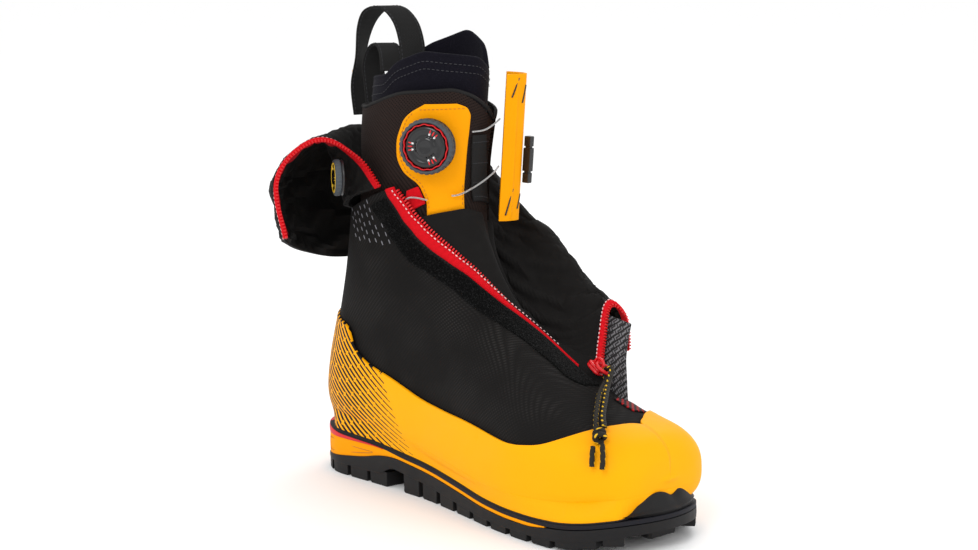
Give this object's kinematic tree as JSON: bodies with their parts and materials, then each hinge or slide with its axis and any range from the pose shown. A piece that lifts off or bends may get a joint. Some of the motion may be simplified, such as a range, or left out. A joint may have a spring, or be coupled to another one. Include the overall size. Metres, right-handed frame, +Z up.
{
  "type": "mountaineering boots",
  "caption": "Double mountaineering boot, right foot: yellow rubber rand, black fabric shell with the zipped gaiter folded open, insulated liner with dial lacing, lugged crampon sole.",
  "frame": {"origin": "on the ground under the middle of the heel", "axes": "+X runs from the heel to the toe, +Y to the inner (medial) side of the foot, +Z up from the ground"},
  "size_m": [0.3339, 0.1856, 0.3293],
  "materials": {
    "rubber": "satin moulded black rubber",
    "yellow_rubber": "smooth matt yellow rubber",
    "yellow_foam": "matt orange-yellow foam",
    "red_plastic": "satin red moulding",
    "yellow_plastic": "satin yellow moulding",
    "black_plastic": "satin black moulding",
    "dial_grip": "matt blue-grey soft grip",
    "board": "matt dark board",
    "shell_fabric": "black twill with diagonal ribs",
    "lining": "smooth black softshell cloth",
    "hook_pile": "short black pile",
    "red_tape": "woven red zip tape",
    "knit": "grey and black patterned knit",
    "pattern_cloth": "black cloth with red diamonds",
    "liner_mesh": "brown-black spacer mesh",
    "fleece": "brushed navy-black fleece",
    "footbed_felt": "grey felt",
    "yellow_leather": "smooth orange-yellow microfibre with stitching",
    "webbing": "black woven webbing",
    "cord": "black braid with yellow flecks",
    "red_metal": "red enamelled metal",
    "steel": "bright stranded steel"
  },
  "bodies": {
    "boot": {"outsole": "rubber", "midsole_wedge": "yellow_foam", "heel_crampon_insert": "red_plastic", "sole_board": "board", "toe_crampon_bumper": "rubber", "rand": "yellow_rubber", "outer_shell": "shell_fabric", "lasting_board": "board", "gusset_tongue": "lining", "toe_pattern_cloth": "pattern_cloth", "hook_strip": "hook_pile", "zip_tape_outer": "red_tape", "collar_outer": "lining", "collar_inner": "lining", "zip_tape_collar": "red_tape", "zip_tape_inner": "red_tape", "knit_flap": "knit", "liner_shell": "liner_mesh", "liner_cuff": "fleece", "liner_tongue": "fleece", "footbed": "footbed_felt", "dial_patch": "yellow_leather", "webbing_guide": "webbing", "red_loop_guide": "red_tape", "lace_wing": "yellow_leather", "lace_wing_guide": "black_plastic", "lace_upper": "steel", "lace_middle": "steel", "lace_lower": "steel", "rear_pull_loop": "webbing", "second_pull_loop": "webbing", "back_tab": "yellow_leather", "liner_dial_base": "black_plastic", "outer_dial_base": "black_plastic"},
    "liner_dial_stem": {"liner_dial_shaft": "steel"},
    "liner_dial_knob": {"liner_dial_rim": "dial_grip", "liner_dial_ring": "red_plastic", "liner_dial_cap": "black_plastic", "liner_dial_spool": "black_plastic"},
    "outer_dial_stem": {"outer_dial_shaft": "steel"},
    "outer_dial_knob": {"outer_dial_rim": "dial_grip", "outer_dial_ring": "yellow_plastic", "outer_dial_cap": "black_plastic", "outer_dial_spool": "black_plastic"},
    "slider": {"zip_slider": "red_metal"},
    "puller": {"puller_ring": "red_plastic", "puller_cord": "cord", "cord_tail_front": "cord", "cord_tail_rear": "cord", "cord_knot": "cord"}
  },
  "joints": [
    {"name": "liner_dial_pop", "type": "slide", "parent": "boot", "child": "liner_dial_stem", "axis": [0.53, -0.848, 0], "range_m": [0, 0.003]},
    {"name": "liner_dial_turn", "type": "hinge", "parent": "liner_dial_stem", "child": "liner_dial_knob", "pos_m": [0.0787, -0.0296, 0.241], "axis": [0.53, -0.848, 0], "continuous": true},
    {"name": "outer_dial_pop", "type": "slide", "parent": "boot", "child": "outer_dial_stem", "axis": [-0.5, -0.866, 0], "range_m": [0, 0.002]},
    {"name": "outer_dial_turn", "type": "hinge", "parent": "outer_dial_stem", "child": "outer_dial_knob", "pos_m": [0.025, -0.06, 0.217], "axis": [-0.5, -0.866, 0], "continuous": true},
    {"name": "zip_slide", "type": "slide", "parent": "boot", "child": "slider", "axis": [-0.8734, 0.1205, 0.4718], "range_m": [0, 0.0055]},
    {"name": "puller_swing", "type": "hinge", "parent": "slider", "child": "puller", "pos_m": [0.1839, 0.02552, 0.10185], "axis": [0.0226, -0.9579, 0.2864], "range_deg": [0, 80]}
  ]
}
